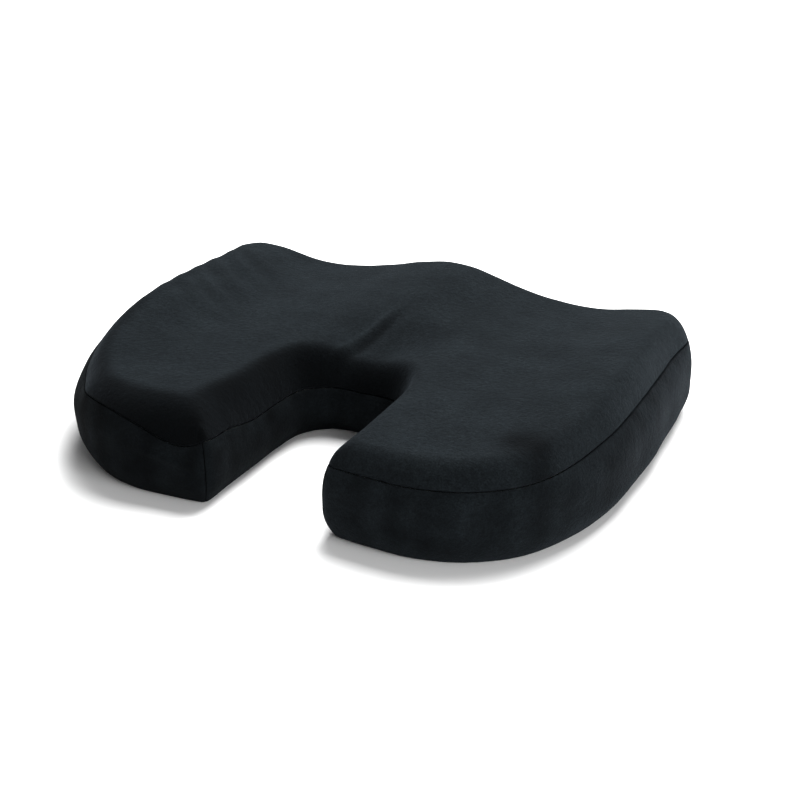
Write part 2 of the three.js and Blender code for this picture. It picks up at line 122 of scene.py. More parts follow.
def outline_knots():
    """Right half from the notch round the lobe's tip to the front, then its mirror image."""
    turn = np.radians([0, 22.5, 45, 67.5, 90])
    tip = np.stack([TIP_CENTRE[0] - TIP_RADIUS * np.cos(turn),
                    TIP_CENTRE[1] - TIP_RADIUS * np.sin(turn)], -1)
    right = [*NOTCH_SIDE, *map(tuple, tip), *OUTER_SIDE, (FRONT_HALF + 8, FRONT_Y),
             (FRONT_HALF, FRONT_Y), (FRONT_HALF / 2, FRONT_Y)]
    left = [(-x, y) for x, y in right[:0:-1]]
    return np.array([*right, (0, FRONT_Y), *left], float) + (0, SHIFT_Y)


OUTLINE = closed_curve(outline_knots())
LOOP = np.vstack([OUTLINE, OUTLINE[:1]])
LENGTH = np.concatenate([[0.0], np.cumsum(np.linalg.norm(np.diff(LOOP, axis=0), axis=1))])
TOTAL = LENGTH[-1]
ALONG = np.roll(OUTLINE, -3, 0) - np.roll(OUTLINE, 3, 0)
NORMAL = np.stack([ALONG[:, 1], -ALONG[:, 0]], -1) / np.linalg.norm(ALONG, axis=1)[:, None]
NORMAL = np.vstack([NORMAL, NORMAL[:1]])


def outline_at(s):
    """Plan point and outward normal at arc length s along the outline."""
    s = np.mod(s, TOTAL)
    point = np.stack([np.interp(s, LENGTH, LOOP[:, k]) for k in (0, 1)], -1)
    normal = np.stack([np.interp(s, LENGTH, NORMAL[:, k]) for k in (0, 1)], -1)
    return point, normal / np.linalg.norm(normal, axis=-1, keepdims=True)


def length_near(x, y):
    """Arc length of the outline point nearest to a plan point."""
    return LENGTH[np.argmin(np.hypot(OUTLINE[:, 0] - x, OUTLINE[:, 1] - y - SHIFT_Y))]


def split_arc(a, b, steps):
    """Stations from a to b, spaced by arc length plus 30 mm for each radian turned."""
    s = np.linspace(a, b, 1500)
    point, normal = outline_at(s)
    gap = np.linalg.norm(np.diff(point, axis=0), axis=1)
    turn = np.linalg.norm(np.diff(normal, axis=0), axis=1)
    weight = np.concatenate([[0.0], np.cumsum(gap + 30.0 * turn)])
    return np.interp(np.linspace(0.0, weight[-1], steps + 1), weight, s)


diagonal = math.sqrt(0.5) * TIP_RADIUS
TIP_S = length_near(TIP_CENTRE[0] - diagonal, TIP_CENTRE[1] - diagonal)
FRONT_S = length_near(FRONT_HALF, FRONT_Y)
NOTCH_STEPS = 2 * SIDE_STEPS + FRONT_STEPS

notch_stations = split_arc(TIP_RUN - TIP_S, TIP_S - TIP_RUN, NOTCH_STEPS)
tip_right = np.concatenate([split_arc(TIP_S - TIP_RUN, TIP_S, TIP_STEPS),
                            split_arc(TIP_S, TIP_S + TIP_RUN, TIP_STEPS)[1:]])
side_right = split_arc(TIP_S + TIP_RUN, FRONT_S, SIDE_STEPS)
front = np.linspace(FRONT_S, TOTAL - FRONT_S, FRONT_STEPS + 1)
side_left = TOTAL - side_right[::-1]
tip_left = TOTAL - tip_right[::-1]
stations = np.concatenate([s[:-1] for s in
                           (notch_stations, tip_right, side_right, front, side_left, tip_left)])
column_point, column_normal = outline_at(stations)


def spine_points():
    """The spine half way between notch and outside, and the spine point of each column."""
    outer = np.concatenate([side_right[:-1], front[:-1], side_left])[::-1]
    spine = 0.5 * (outline_at(notch_stations)[0] + outline_at(outer)[0])
    last = NOTCH_STEPS
    index = np.concatenate([np.arange(last), np.full(2 * TIP_STEPS, last),
                            np.arange(last, 0, -1), np.full(2 * TIP_STEPS, 0)])
    return spine, index


SPINE, spine_index = spine_points()


# ---- heights of the cushion --------------------------------------------------
def seam_height(p):
    """Height of the seam between band and top: higher at the bolsters and front corners,
    lower in the notch, and dipping and rising where the cover sits askew on the left lobe."""
    x, y = p[..., 0], p[..., 1] - SHIFT_Y
    side = smooth(150, 215, abs(x)) * bell(y - 10, 110)
    notch = bell(x, 80) * smooth(15, -45, y) * smooth(-190, -105, y)
    corner = smooth(125, 190, abs(x)) * smooth(30, 120, y)
    dip = 11 * bell(x + 71, 27) * smooth(-140, -172, y)
    rise = (6 * bell(x + 146, 38) * smooth(-100, -165, y)
            + 6 * smooth(-170, -205, x) * bell(y + 45, 75))
    front_rise = 3 * bell(x, 70) * smooth(60, 150, y)
    return SEAM_Z + 8 * side + 3 * corner - 20.5 * notch + front_rise - dip + rise


def seat_height(p):
    """Height away from the edges: seat, bolsters, pommel, thigh channels and tail dip."""
    x, y = p[..., 0], p[..., 1] - SHIFT_Y
    side = smooth(120, 212, abs(x)) * bell(y - 15, 105)
    pommel = bell(x, 56) * smooth(-40, 140, y)
    channel = bell(abs(x) - 118, 52) * smooth(40, 170, y)
    notch = bell(x, 37) * smooth(55, -25, y) * smooth(-190, -110, y)
    corner = smooth(125, 190, abs(x)) * smooth(30, 120, y)
    return SEAT_Z + 14 * side + 17 * pommel + 4 * corner - 4 * channel - 15 * notch


def side_inset(p):
    """How much further in the seam lies along the outer sides; most on the left one."""
    x, y = p[..., 0], p[..., 1] - SHIFT_Y
    along = smooth(-150, -70, y) * smooth(135, 70, y)
    left = smooth(-158, -192, x) * smooth(150, 60, y)
    return SIDE_INSET * smooth(180, 214, abs(x)) * along * (1 - left) + LEFT_INSET * left


def foot(p):
    """Inset and height of the wall's lower curve; both are less along the zipped front."""
    ahead = smooth(FRONT_Y - 40, FRONT_Y - 8, p[..., 1] - SHIFT_Y)
    return 9 - 3 * ahead, 22 - 8 * ahead


def left_foot(p):
    """How much further in the foot of the left wall lies."""
    return LEFT_FOOT * smooth(-120, -205, p[..., 0])


def wall_inset(p, z):
    """How far the wall lies inside the widest outline at height z."""
    inset, height = foot(p)
    low = np.clip(1 - z / height, 0, None)
    lean = np.clip(1 - (seam_height(p) - z) / LEAN, 0, None)
    left = left_foot(p) * np.clip(1 - z / 44, 0, 1) ** 1.3
    return inset * low ** 2 + SEAM_INSET * lean ** 2 + side_inset(p) * lean ** 3 + left


def seam_inset(p):
    """How far the seam lies inside the widest outline."""
    return SEAM_INSET + side_inset(p)


def seam_line(count):
    """Plan points of the seam, evenly spaced along the outline, and the seam's heights,
    which go by the outline's own points."""
    point, normal = outline_at(np.linspace(0, TOTAL, count, endpoint=False))
    return point - seam_inset(point)[:, None] * normal, seam_height(point)


SEAM_LINE, SEAM_LEVEL = seam_line(1700)


def seam_near(points):
    """Distance from each plan point to the seam, and the seam's height there. Close to the
    seam both belong to its nearest point. Further in they are means over the seam, weighed
    by a high power of nearness, so that no ridge forms where two sides are equally near."""
    flat = points.reshape(-1, 2)
    far, level = [], []
    for chunk in np.array_split(flat, max(1, len(flat) // 1500)):
        gap = np.sqrt(((chunk[:, None] - SEAM_LINE[None]) ** 2).sum(-1))
        nearest = gap.argmin(1)
        least = gap[np.arange(len(chunk)), nearest]
        weight = (np.maximum(least, 1.5)[:, None] / np.maximum(gap, 1.5)) ** 6
        spacing = TOTAL / len(SEAM_LINE)
        mean = least * (weight.sum(1) * spacing / (np.maximum(least, 1.5) * 1.178)) ** -0.2
        blend = smooth(4, 9, least)
        far.append(least + (mean - least) * blend)
        level.append(SEAM_LEVEL[nearest] * (1 - blend)
                     + (weight @ SEAM_LEVEL) / weight.sum(1) * blend)
    shape = points.shape[:-1]
    return np.concatenate(far).reshape(shape), np.concatenate(level).reshape(shape)


def shoulder_width(p):
    """Width of the rounded shoulder inside the seam; the cover slopes off more gently round
    the left lobe and its side of the notch."""
    x, y = p[..., 0], p[..., 1] - SHIFT_Y
    tip = bell(x + 85, 60) * smooth(-90, -150, y)
    notch = bell(x + 45, 30) * smooth(10, -60, y)
    return SHOULDER + 11 * tip + 5 * notch * (1 - tip)


def shoulder_rise(share):
    """Rise of the shoulder at a share of its width: steep at first, then levelling out."""
    return 1 - (1 - np.clip(share, 0, 1)) ** 2.3


def top_height(points, start=0.0, lower=0.0):
    """Height of one skin of the top. A deeper skin starts further in than the seam and ends
    lower than the cover's outside, about the same centre."""
    distance, seam = seam_near(points)
    share = (distance - start) / (shoulder_width(points) - start)
    return seam + (seat_height(points) - lower - seam) * shoulder_rise(share)


# ---- rows of the top ---------------------------------------------------------
NEAR_ROWS = np.array([0.0, 0.18, 0.36, 0.7, 1.3, 1.9, 2.6, 3.5, 4.6, 6.0, 7.7, 9.8, 12.2, 15.0,
                      18.5, 23.0])
FAR_ROWS = np.linspace(0, 1, 17)[1:]


def top_plan(inset):
    """Plan points by row and column: fixed distances in from an edge that lies at the inset,
    then even shares of what is left of the way to the spine."""
    start = column_point - inset[:, None] * column_normal
    end = SPINE[spine_index]
    reach = np.linalg.norm(end - start, axis=1)
    scale = np.minimum(1.0, 0.4 * reach / NEAR_ROWS[-1])
    near = NEAR_ROWS[:, None] * scale / reach
    far = near[-1] + (1 - near[-1]) * FAR_ROWS[:, None]
    share = np.vstack([near, far])[..., None]
    return start + (end - start) * share


# ---- making meshes -----------------------------------------------------------
def add_object(name, vertices, faces, material, closed=True):
    """A mesh object at the origin, from millimetre vertices and lists of faces. A closed
    shape is turned to face outwards; an open sheet already does by the order of its rows."""
    mesh = bpy.data.meshes.new(name)
    mesh.from_pydata((np.asarray(vertices) * MM).tolist(), [], [list(f) for f in faces])
    mesh.validate()
    built = bmesh.new()
    built.from_mesh(mesh)
    bmesh.ops.remove_doubles(built, verts=built.verts, dist=2e-6)
    bmesh.ops.dissolve_degenerate(built, edges=built.edges, dist=1e-7)
    if closed:
        bmesh.ops.recalc_face_normals(built, faces=built.faces)
    built.to_mesh(mesh)
    built.free()
    mesh.polygons.foreach_set("use_smooth", np.ones(len(mesh.polygons), bool))
    mesh.materials.append(material)
    piece = bpy.data.objects.new(name, mesh)
    bpy.context.scene.collection.objects.link(piece)
    return piece


def grid_faces(rows, columns, closed, start=0):
    """Quads of a grid of rows by columns, whose columns join up if it is closed."""
    r = np.arange(rows - 1)[:, None]
    c = np.arange(columns if closed else columns - 1)[None, :]
    n = (c + 1) % columns
    corners = [r * columns + c, r * columns + n, (r + 1) * columns + n, (r + 1) * columns + c]
    return np.stack(np.broadcast_arrays(*corners), -1).reshape(-1, 4) + start


def thicken(piece, thickness):
    """Gives a sheet its thickness on the inner side, with closed rims."""
    solid = piece.modifiers.new("thickness", "SOLIDIFY")
    solid.thickness = thickness * MM
    solid.offset = -1.0
    solid.use_rim = True
    return piece


# ---- finishes ----------------------------------------------------------------
def finish_nodes(name):
    """A material with its node tree, and the Principled shader in it."""
    material = bpy.data.materials.new(name)
    material.use_nodes = True
    tree = material.node_tree
    return material, tree, tree.nodes["Principled BSDF"]


def noise(tree, scale, detail=2.0, roughness=0.5):
    """Noise on Object coordinates, in cycles per metre."""
    place = tree.nodes.new("ShaderNodeTexCoord")
    made = tree.nodes.new("ShaderNodeTexNoise")
    made.inputs["Scale"].default_value = scale
    made.inputs["Detail"].default_value = detail
    made.inputs["Roughness"].default_value = roughness
    tree.links.new(place.outputs["Object"], made.inputs["Vector"])
    return made.outputs["Fac"]


def shades(tree, factor, stops):
    """A colour ramp of (position, colour) stops."""
    ramp = tree.nodes.new("ShaderNodeValToRGB")
    while len(ramp.color_ramp.elements) < len(stops):
        ramp.color_ramp.elements.new(0.5)
    for element, (position, colour) in zip(ramp.color_ramp.elements, stops):
        element.position = position
        element.color = (*colour, 1.0)
    tree.links.new(factor, ramp.inputs["Fac"])
    return ramp.outputs["Color"]


def tinted(tree, a, b):
    """The product of two colours."""
    mix = tree.nodes.new("ShaderNodeMix")
    mix.data_type = "RGBA"
    mix.blend_type = "MULTIPLY"
    inlets = {i.name: i for i in mix.inputs if i.enabled}
    inlets["Factor"].default_value = 1.0
    tree.links.new(a, inlets["A"])
    tree.links.new(b, inlets["B"])
    return next(o for o in mix.outputs if o.enabled)


def sums(tree, operation, a, b):
    """One step of arithmetic on sockets or numbers."""
    step = tree.nodes.new("ShaderNodeMath")
    step.operation = operation
    for inlet, value in zip(step.inputs, (a, b)):
        if isinstance(value, bpy.types.NodeSocket):
            tree.links.new(value, inlet)
        else:
            inlet.default_value = value
    return step.outputs[0]


def relief(tree, shader, height, distance, strength=1.0):
    """Bump from a height socket, in metres."""
    bump = tree.nodes.new("ShaderNodeBump")
    bump.inputs["Strength"].default_value = strength
    bump.inputs["Distance"].default_value = distance
    tree.links.new(height, bump.inputs["Height"])
    tree.links.new(bump.outputs["Normal"], shader.inputs["Normal"])


def velour(name, sheen):
    """Short-pile velour: near-black ground, mottled pile and a soft sheen at grazing angles.
    A copy made with less sheen is a shaded copy, which paints shade."""
    material, tree, shader = finish_nodes(name)
    grain = noise(tree, 900, 3, 0.65)
    tuft = noise(tree, 260, 2, 0.6)
    mottle = noise(tree, 34, 4, 0.6)
    ground = shades(tree, grain,
                    [(0.28, (0.0048, 0.0068, 0.0084)), (0.72, (0.0170, 0.0218, 0.0250))])
    cloudy = shades(tree, mottle, [(0.32, (0.84, 0.85, 0.86)), (0.68, (1.14, 1.13, 1.12))])
    ground = tinted(tree, ground, cloudy)
    tufts = shades(tree, tuft, [(0.30, (0.82, 0.82, 0.82)), (0.70, (1.15, 1.15, 1.15))])
    ground = tinted(tree, ground, tufts)
    nap_and_shade = tree.nodes.new("ShaderNodeAttribute")
    nap_and_shade.attribute_name = "nap_and_shade"
    # lower values darken the base towards dark blue: the pile's patches and the painted shade
    # stored with them
    nap_and_shade_tone = shades(tree, nap_and_shade.outputs["Fac"],
                     [(0.0, (0.03, 0.07, 0.10)), (0.5, (1.0, 1.0, 1.0)), (1.0, (2.4, 2.4, 2.4))])
    tree.links.new(tinted(tree, ground, nap_and_shade_tone), shader.inputs["Base Color"])
    shader.inputs["Roughness"].default_value = 0.95
    shader.inputs["Specular IOR Level"].default_value = 0.12
    shader.inputs["Sheen Weight"].default_value = sheen
    shader.inputs["Sheen Roughness"].default_value = 0.44
    shader.inputs["Sheen Tint"].default_value = (0.72, 0.86, 1.0, 1.0)
    height = sums(tree, "ADD", sums(tree, "MULTIPLY", grain, 0.6),
                  sums(tree, "MULTIPLY", tuft, 0.8))
    relief(tree, shader, height, 0.0008, 0.9)
    return material


def woven(name, dark, light, pitch):
    """Plain weave: two crossed waves make the yarns, with a little noise in the colour."""
    material, tree, shader = finish_nodes(name)
    place = tree.nodes.new("ShaderNodeTexCoord")
    waves = []
    for direction in ("X", "Y"):
        wave = tree.nodes.new("ShaderNodeTexWave")
        wave.wave_type = "BANDS"
        wave.bands_direction = direction
        wave.inputs["Scale"].default_value = 0.05 * 2 * math.pi / pitch
        tree.links.new(place.outputs["Object"], wave.inputs["Vector"])
        waves.append(wave.outputs["Fac"])
    yarn = sums(tree, "MAXIMUM", *waves)
    worn = sums(tree, "ADD", sums(tree, "MULTIPLY", yarn, 0.7),
                sums(tree, "MULTIPLY", noise(tree, 90, 3), 0.4))
    tree.links.new(shades(tree, worn, [(0.25, dark), (0.95, light)]), shader.inputs["Base Color"])
    shader.inputs["Roughness"].default_value = 0.86
    shader.inputs["Specular IOR Level"].default_value = 0.3
    shader.inputs["Sheen Weight"].default_value = 0.15
    relief(tree, shader, yarn, 0.0002, 0.6)
    return material


def foam_finish():
    """Open-cell foam: pale cream with fine pores and faint yellowing."""
    material, tree, shader = finish_nodes("moulded_foam")
    pores = noise(tree, 700, 4, 0.7)
    tone = noise(tree, 14, 3, 0.6)
    cream = shades(tree, tone, [(0.3, (0.74, 0.69, 0.56)), (0.7, (0.86, 0.83, 0.73))])
    cells = shades(tree, pores, [(0.30, (0.62, 0.60, 0.56)), (0.46, (1.0, 1.0, 1.0))])
    tree.links.new(tinted(tree, cream, cells), shader.inputs["Base Color"])
    shader.inputs["Roughness"].default_value = 0.92
    shader.inputs["Subsurface Weight"].default_value = 0.08
    relief(tree, shader, pores, 0.0005, 0.7)
    return material


def rubber_dots_finish():
    """Soft black rubber with a slight bloom."""
    material, tree, shader = finish_nodes("rubber_dots")
    bloom = noise(tree, 160, 3, 0.6)
    black = shades(tree, bloom, [(0.3, (0.010, 0.010, 0.011)), (0.75, (0.028, 0.028, 0.030))])
    tree.links.new(black, shader.inputs["Base Color"])
    shader.inputs["Roughness"].default_value = 0.6
    relief(tree, shader, bloom, 0.0001, 0.4)
    return material


def nylon():
    """Moulded nylon coil: near black, faintly glossy."""
    material, tree, shader = finish_nodes("nylon_coil")
    streak = noise(tree, 500, 2, 0.5)
    black = shades(tree, streak, [(0.3, (0.008, 0.008, 0.009)), (0.7, (0.020, 0.020, 0.022))])
    tree.links.new(black, shader.inputs["Base Color"])
    tree.links.new(sums(tree, "ADD", sums(tree, "MULTIPLY", streak, 0.3), 0.2),
                   shader.inputs["Roughness"])
    return material


def lacquered_metal():
    """Black lacquer over zinc: fine orange peel, with rubbed, brighter spots."""
    material, tree, shader = finish_nodes("lacquered_zinc")
    peel = noise(tree, 650, 3, 0.55)
    rubbed = noise(tree, 120, 5, 0.7)
    black = shades(tree, rubbed, [(0.55, (0.018, 0.018, 0.020)), (0.80, (0.085, 0.085, 0.09))])
    tree.links.new(black, shader.inputs["Base Color"])
    uneven = shades(tree, peel, [(0.3, (0.24, 0.24, 0.24)), (0.7, (0.42, 0.42, 0.42))])
    tree.links.new(uneven, shader.inputs["Roughness"])
    shader.inputs["Metallic"].default_value = 0.75
    relief(tree, shader, peel, 0.00005, 0.4)
    return material


VELOUR = velour("velour_full_sheen", 0.068)
# shaded copy with weak sheen: painted shade on the left band and the notch band
VELOUR_SHADED = velour("velour_shaded_low_sheen", 0.012)
GRIP = woven("grip_fabric", (0.008, 0.008, 0.009), (0.034, 0.035, 0.037), 0.0011)
TAPE = woven("zip_tape_weave", (0.006, 0.006, 0.007), (0.026, 0.027, 0.029), 0.0007)
FOAM = foam_finish()
DOTS = rubber_dots_finish()
NYLON = nylon()
METAL = lacquered_metal()


# ---- how the velour lies, and the shade painted on it ------------------------
CREASE = np.array([(-27, -30), (-5, 42)], float)    # down the pommel's left flank
GATHERS = (-176, 35)                                # loose cloth along the left side
SMUDGE = (175, -121)                                # where the pile is brushed over


def crease_line(points):
    """Signed distance across the crease, and how strong it is: 1 along the middle of its
    length, fading to 0 past both ends."""
    a, b = CREASE
    along = (b - a) / np.linalg.norm(b - a)
    across = np.array([-along[1], along[0]])
    run = (points - a) @ along / np.linalg.norm(b - a)
    bow = 2.0 * np.sin(np.clip(run, 0, 1) * math.pi)
    return (points - a) @ across + bow, smooth(-0.12, 0.2, run) * smooth(1.2, 0.7, run)


def slack(points, q):
    """Height of the cloth over its smooth form: long soft waves, the pommel's crease and
    the left side's gathers. q is the distance from the seam."""
    p = points - (0, SHIFT_Y)
    wave = 0.35 * ripple(points, 95.0, 3) + 0.18 * ripple(points, 38.0, 4)
    side, strong = crease_line(p)
    crease = strong * (2.6 * bell(side - 2.6, 4.0) - 2.3 * bell(side + 2.8, 7.5))
    place = bell(p[..., 0] - GATHERS[0], 34) * bell(p[..., 1] - GATHERS[1], 78)
    across = 0.57 * p[..., 0] + 0.82 * p[..., 1]
    folds = np.sin(across * 2 * math.pi / 21 + 1.3 * ripple(points, 70.0, 5))
    gathers = 0.8 * place * (folds + 0.5 * ripple(points, 24.0, 8)) * smooth(2, 14, q)
    return (wave + crease) * smooth(0, 18, q) + gathers


def pucker(s, q):
    """Small gathers that the stitching draws into the cloth, fading away from the seam."""
    ring = np.stack([np.cos(s * 2 * math.pi / TOTAL), np.sin(s * 2 * math.pi / TOTAL)], -1)
    fade = np.exp(-q / 6.0) * smooth(0, 2, q) * smooth(9, 4, q)
    return 0.3 * ripple(ring * TOTAL / (2 * math.pi), 13.0, 6) * fade


def rolled(q, depth=3.0, width=1.3):
    """Depth of a panel's edge as it rolls into its seam: a quarter round, then straight
    down along the stitching."""
    share = np.clip(1 - q / width, 0, 1)
    return 0.7 * (1 - np.sqrt(1 - share ** 2)) + (depth - 0.7) * smooth(0.72, 1.0, share)


def store_nap_and_shade(piece, value):
    """Stores the pile's tone and the painted shade at each vertex: 0.5 plain, lower darker,
    higher paler.
    """
    count = len(piece.data.vertices)
    place = np.empty(count * 3)
    piece.data.vertices.foreach_get("co", place)
    layer = piece.data.attributes.new("nap_and_shade", "FLOAT", "POINT")
    layer.data.foreach_set("value", value(place.reshape(-1, 3) / MM))


def top_nap_and_shade(p):
    """Tone of the top: darker where the pile is laid over; painted shade in the crease with a
    faint painted highlight beside it, and painted shade on the slopes of the left lobe and the
    notch."""
    x, y = p[:, 0], p[:, 1] - SHIFT_Y
    flat = np.stack([x, y], -1)
    warp = 7 * ripple(flat, 45.0, 11)
    spot = bell(np.hypot(x - SMUDGE[0] + warp, (y - SMUDGE[1]) * 1.1), 17)
    tail = bell(x - SMUDGE[0] - 22 + warp, 15) * smooth(SMUDGE[1] - 4, SMUDGE[1] - 22, y)
    laid = np.clip(spot + 0.8 * tail, 0, 1)
    # painted shade: darker on the slopes of the left lobe and the notch, near the seam
    slope = np.maximum(smooth(15, -20, x) * smooth(10, -45, y), bell(x, 45) * smooth(10, -35, y))
    width = shoulder_width(p[:, :2])
    slope_shade = slope * smooth(width + 5, width - 9, seam_near(p[:, :2])[0])
    side, strong = crease_line(flat)
    # painted shade along the crease, and a faint painted highlight on its far flank
    crease = strong * (0.30 * bell(side + 1.5, 5.0) - 0.10 * bell(side - 5.0, 5.0))
    return (0.5 - 0.5 * np.maximum(laid, 0.94 * slope_shade) - crease * (1 - slope_shade)
            + 0.04 * ripple(flat, 60.0, 12))


def band_nap_and_shade(p):
    """Upright streaks where the band has been stroked, and painted shade round the left lobe
    and along the right side."""
    around = np.stack([p[:, 0], p[:, 1]], -1)
    streaks = 0.10 * ripple(around, 26.0, 13) + 0.07 * ripple(p, 22.0, 14)
    # painted shade on the band round the left lobe and along the right side
    left = smooth(20, -60, p[:, 0]) * smooth(60, -60, p[:, 1])
    right = smooth(165, 215, p[:, 0]) * smooth(-120, -20, p[:, 1])
    return 0.40 + streaks - 0.18 * left - 0.20 * right


# ---- cover -------------------------------------------------------------------
INWARD, DOWNWARD = 0.84, 0.54          # way the cloth turns in at the top seam


def build_top_panel():
    """The top: rows from the seam to the spine at top_height plus the cloth's slack, its
    edge rolled into the seam."""
    plan = top_plan(seam_inset(column_point))
    q = seam_near(plan)[0]
    q[0] = 0
    s = np.broadcast_to(stations, q.shape)
    z = top_height(plan) + slack(plan, q) + pucker(s, q)
    z[0] = seam_height(column_point)
    turn = rolled(q)[..., None] * column_normal
    plan = plan - INWARD * turn
    z = z - DOWNWARD * rolled(q) + 0.06
    rows, count = q.shape
    vertices = np.dstack([plan, z]).reshape(-1, 3)
    panel = add_object("top_panel", vertices, grid_faces(rows, count, True), VELOUR, closed=False)
    store_nap_and_shade(panel, top_nap_and_shade)
    return thicken(panel, COVER)


def band_heights(bottom, top, steps=26):
    """Heights from bottom to top, closer together at both edges."""
    near = NEAR_ROWS[:10]
    share = np.linspace(0, 1, steps)[1:-1, None]
    low, high = bottom + near[:, None], top - near[::-1, None]
    middle = low[-1:] + (high[:1] - low[-1:]) * share
    return np.vstack([np.broadcast_to(low, (len(near), high.shape[1])), middle, high])


def band_folds(p, z):
    """Two places where the band hangs loose: a long fold under the seam of the left lobe, and
    slanting ones where the notch turns into the right lobe."""
    x, y = p[..., 0], p[..., 1] - SHIFT_Y
    line = z - 35 + 0.16 * (x + 80)
    lobe = 1.5 * bell(line, 2.4) * bell(x + 80, 20) * smooth(-150, -180, y)
    turn = bell(x - 32, 13) * bell(y + 48, 15)
    slant = np.sin((x - y) * 0.26 + z * 0.17)
    return lobe + 1.1 * turn * slant * smooth(4, 14, z)


def build_band(name, start, end, inner, bottom=0.35, top=None, cloth=VELOUR):
    """A strip of the side wall from station start to end: the wall's belly with all four
    edges rolled in, and puckers under the top seam."""
    edge = NEAR_ROWS[:9]
    inner = inner[(inner > start + edge[-1] + 1) & (inner < end - edge[-1] - 1)]
    s = np.concatenate([start + 0.05 + edge, inner, (end - 0.05 - edge)[::-1]])
    point, normal = outline_at(s)
    seam = seam_height(point)
    upper = seam if top is None else np.full(len(s), float(top))
    z = band_heights(bottom, upper)
    p = np.broadcast_to(point, (*z.shape, 2))
    below = upper - z
    stitch = below if top is None else np.full(z.shape, 99.0)
    ends = np.minimum(s - start, end - s)
    waves = 0.45 * ripple(np.dstack([p, z * 0.5]), 70.0, 7)
    waves = waves * smooth(0, 14, z) * smooth(0, 10, below)
    out = waves + pucker(s, stitch) + band_folds(p, z) * smooth(0, 8, ends) * smooth(0, 5, below)
    depth = (wall_inset(p, z) - out + rolled(z - bottom, 1.6) + INWARD * rolled(below)
             + rolled(ends))
    plan = p - depth[..., None] * normal
    z = z - DOWNWARD * rolled(below) * (1 if top is None else 0)
    rows, count = z.shape
    vertices = np.dstack([plan, z]).reshape(-1, 3)
    band = add_object(name, vertices, grid_faces(rows, count, False), cloth, closed=False)
    store_nap_and_shade(band, band_nap_and_shade)
    return thicken(band, COVER)


def build_base_panel():
    """The underside: a flat sheet whose rim turns up into the hem. Also gives its plan."""
    inset = foot(column_point)[0] + left_foot(column_point) + 2.3
    plan = top_plan(inset)
    q = np.linalg.norm(plan - plan[0], axis=-1)
    z = 0.55 + rolled(q, 1.1)
    rows, count = q.shape
    vertices = np.dstack([plan, z]).reshape(-1, 3)
    downward = grid_faces(rows, count, True)[:, ::-1]
    base = add_object("base_cloth", vertices, downward, GRIP, closed=False)
    return base, plan


def build_dots(edge):
    """Small rubber domes in staggered rows, kept clear of the hem."""
    pitch = 8.5
    x, y = np.meshgrid(np.arange(-26, 27) * pitch, np.arange(-24, 25) * pitch * 0.8660)
    x = x + pitch / 2 * (np.arange(len(x)) % 2)[:, None]
    spots = np.stack([x.ravel(), y.ravel()], -1)
    ahead = np.roll(edge, -1, 0)
    straddles = (edge[:, 1] > spots[:, 1:]) != (ahead[:, 1] > spots[:, 1:])
    step = ahead - edge
    slope = step[:, 0] / np.where(step[:, 1] == 0, 1, step[:, 1])
    crossing = spots[:, :1] < edge[:, 0] + slope * (spots[:, 1:] - edge[:, 1])
    inside = (straddles & crossing).sum(1) % 2 == 1
    clear = np.sqrt(((spots[:, None] - edge[None, ::4]) ** 2).sum(-1)).min(1) > 7
    spots = spots[inside & clear]
    turn = np.arange(8) * math.pi / 4
    rings = [(1.7, 0.70), (1.55, 0.28), (0.9, 0.02)]
    dome = np.vstack([np.stack([r * np.cos(turn), r * np.sin(turn), np.full(8, z)], -1)
                      for r, z in rings])
    vertices = (dome[None] + np.pad(spots, ((0, 0), (0, 1)))[:, None]).reshape(-1, 3)
    ring = grid_faces(3, 8, True).tolist()
    caps = [list(range(16, 24)), list(range(8))]
    faces = [[i + 24 * k for i in face] for k in range(len(spots)) for face in ring + caps]
    return add_object("grip_dots", vertices, faces, DOTS)


def build_foam():
    """The foam block: the cover's form, drawn in, as one closed skin from the underside's
    spine round the wall to the top's spine."""
    count = len(stations)
    point, normal = column_point, column_normal
    low = np.array([2.6, 3.4, 5, 8, 12, 17, 23])[:, None] + np.zeros(count)
    share = np.array([0.2, 0.4, 0.6, 0.8, 0.93])[:, None]
    z_wall = np.vstack([low, 23 + (seam_height(point) - 23) * share])
    p = np.broadcast_to(point, (len(z_wall), count, 2))
    wall = p - (wall_inset(p, z_wall) + FOAM_DEPTH)[..., None] * normal
    inset = wall_inset(point, np.full(count, 2.1)) + FOAM_DEPTH + 1.0
    floor = top_plan(inset)[[0, 3, 8, 12, 18, 24, 31]][::-1]
    plan = top_plan(seam_inset(point) + FOAM_DEPTH)
    loose = slack(plan, seam_near(plan)[0])
    top = top_height(plan, FOAM_DEPTH, FOAM_DROP) + np.minimum(loose, 0)
    shell = [np.dstack([floor, np.full(floor.shape[:2], 2.1)]), np.dstack([wall, z_wall]),
             np.dstack([plan, top])]
    grid = np.vstack(shell)
    return add_object("moulded_foam_block", grid.reshape(-1, 3),
                      grid_faces(len(grid), count, True), FOAM)


# ---- zip ---------------------------------------------------------------------
def face_y(depth):
    """Y of a place at some depth behind the front face's surface."""
    return FRONT_Y + SHIFT_Y - depth


ZIP_Z = 22.0
ZIP_OPENING = (16.5, 27.5)     # edges of the two front bands
slider_low, slider_high = (np.array(v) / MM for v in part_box("zip_slider"))
SLIDER_X = (slider_low[0] + slider_high[0]) / 2
coil_start, coil_end = (v[0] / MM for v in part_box("zip_coil_upper"))


def rounded_block(centre, half, radius, around=28, up=16):
    """A block with rounded edges: a small sphere pulled apart to the eight corners."""
    u = (np.arange(around) + 0.5) * 2 * math.pi / around
    v = (np.arange(up) + 0.5) * math.pi / up - math.pi / 2
    u, v = np.meshgrid(u, v)
    ball = np.dstack([np.cos(v) * np.cos(u), np.cos(v) * np.sin(u), np.sin(v)])
    core = np.asarray(half, float) - radius
    vertices = (np.asarray(centre) + np.sign(ball) * core + radius * ball).reshape(-1, 3)
    faces = grid_faces(up, around, True).tolist()
    faces += [list(range(around))[::-1], list(range((up - 1) * around, up * around))]
    return vertices, faces


